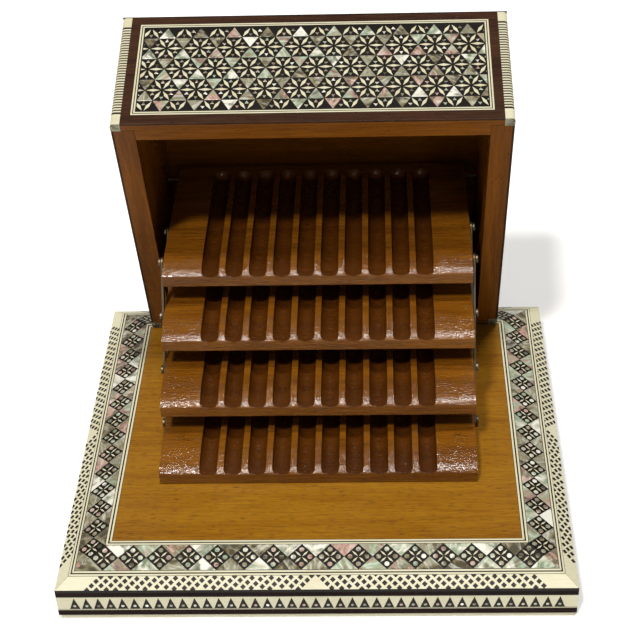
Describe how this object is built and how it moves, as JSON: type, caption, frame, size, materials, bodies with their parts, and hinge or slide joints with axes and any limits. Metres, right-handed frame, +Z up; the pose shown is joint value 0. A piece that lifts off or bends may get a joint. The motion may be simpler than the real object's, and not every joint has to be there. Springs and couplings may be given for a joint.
{
  "type": "inlaid wooden cigarette box with rising trays",
  "caption": "Inlaid wooden cigarette box whose case tips back on its rear edge and spreads a stack of grooved trays like stairs.",
  "frame": {"origin": "centre of the base's underside, on the surface the box stands on", "axes": "+X to the viewer's right, +Y to the back, +Z up; the open case faces -Y"},
  "size_m": [0.221, 0.2365, 0.1858],
  "materials": {
    "line_inlay": "satin varnish",
    "pearl_mosaic": "polished, iridescent",
    "star_mosaic": "polished",
    "bone_wood": "satin",
    "triangle_inlay": "satin",
    "striped_bead": "satin",
    "dark_wood": "satin varnish",
    "field_wood": "gloss varnish",
    "tray_wood": "gloss varnish",
    "case_wood": "gloss varnish",
    "steel": "dull"
  },
  "bodies": {
    "base": {"base_core": "dark_wood", "bottom_board": "bone_wood", "edge_inlay_back": "triangle_inlay", "edge_inlay_front": "triangle_inlay", "edge_inlay_left": "triangle_inlay", "edge_inlay_right": "triangle_inlay", "field_line_back": "line_inlay", "field_line_front": "line_inlay", "field_line_left": "line_inlay", "field_line_right": "line_inlay", "field_panel": "field_wood", "lattice_band_back": "bone_wood", "lattice_band_front": "bone_wood", "lattice_band_left": "bone_wood", "lattice_band_right": "bone_wood", "outer_line_back": "line_inlay", "outer_line_front": "line_inlay", "outer_line_left": "line_inlay", "outer_line_right": "line_inlay", "pearl_band_back": "pearl_mosaic", "pearl_band_front": "pearl_mosaic", "pearl_band_left": "pearl_mosaic", "pearl_band_right": "pearl_mosaic", "tray_1": "tray_wood", "tray_1_pins": "steel", "tray_nails": "steel"},
    "front_links": {"front_link_left": "steel", "front_link_right": "steel"},
    "rear_links": {"rear_link_left": "steel", "rear_link_right": "steel"},
    "tray_2": {"tray_2": "tray_wood", "tray_2_pins": "steel"},
    "tray_3": {"tray_3": "tray_wood", "tray_3_pins": "steel"},
    "tray_4": {"tray_4": "tray_wood", "tray_4_pins": "steel", "wire_axle": "steel"},
    "case": {"case_back_wall": "case_wood", "case_front_wall": "case_wood", "case_left_wall": "case_wood", "case_right_wall": "case_wood", "case_top_panel": "case_wood", "corner_bead_back_left": "striped_bead", "corner_bead_back_right": "striped_bead", "corner_bead_front_left": "striped_bead", "corner_bead_front_right": "striped_bead", "frame_back": "dark_wood", "frame_front": "dark_wood", "frame_left": "dark_wood", "frame_right": "dark_wood", "mosaic_back": "star_mosaic", "mosaic_front": "star_mosaic", "mosaic_left": "star_mosaic", "mosaic_right": "star_mosaic", "top_inner_line": "line_inlay", "top_lattice": "bone_wood", "top_mosaic": "star_mosaic", "top_outer_line": "line_inlay", "top_pearl_band": "pearl_mosaic"}
  },
  "joints": [
    {"name": "case_tip", "type": "hinge", "parent": "base", "child": "case", "pos_m": [0, 0.07425, 0.0246], "axis": [1, 0, 0], "range_deg": [0, 74]},
    {"name": "front_link_swing", "type": "hinge", "parent": "base", "child": "front_links", "pos_m": [0, -0.0017, 0.0275], "axis": [1, 0, 0], "range_deg": [0, 74]},
    {"name": "rear_link_swing", "type": "hinge", "parent": "base", "child": "rear_links", "pos_m": [0, 0.0243, 0.0275], "axis": [1, 0, 0], "range_deg": [0, 74]},
    {"name": "tray_2_level", "type": "hinge", "parent": "front_links", "child": "tray_2", "pos_m": [0, 0.01118, 0.04893], "axis": [1, 0, 0], "range_deg": [-74, 0]},
    {"name": "tray_3_level", "type": "hinge", "parent": "front_links", "child": "tray_3", "pos_m": [0, 0.02405, 0.07036], "axis": [1, 0, 0], "range_deg": [-74, 0]},
    {"name": "tray_4_level", "type": "hinge", "parent": "front_links", "child": "tray_4", "pos_m": [0, 0.03693, 0.09179], "axis": [1, 0, 0], "range_deg": [-74, 0]}
  ],
  "couplings": [
    {"joint": "front_link_swing", "follows": "case_tip", "ratio": 1},
    {"joint": "rear_link_swing", "follows": "case_tip", "ratio": 1},
    {"joint": "tray_2_level", "follows": "case_tip", "ratio": -1},
    {"joint": "tray_3_level", "follows": "case_tip", "ratio": -1},
    {"joint": "tray_4_level", "follows": "case_tip", "ratio": -1}
  ]
}
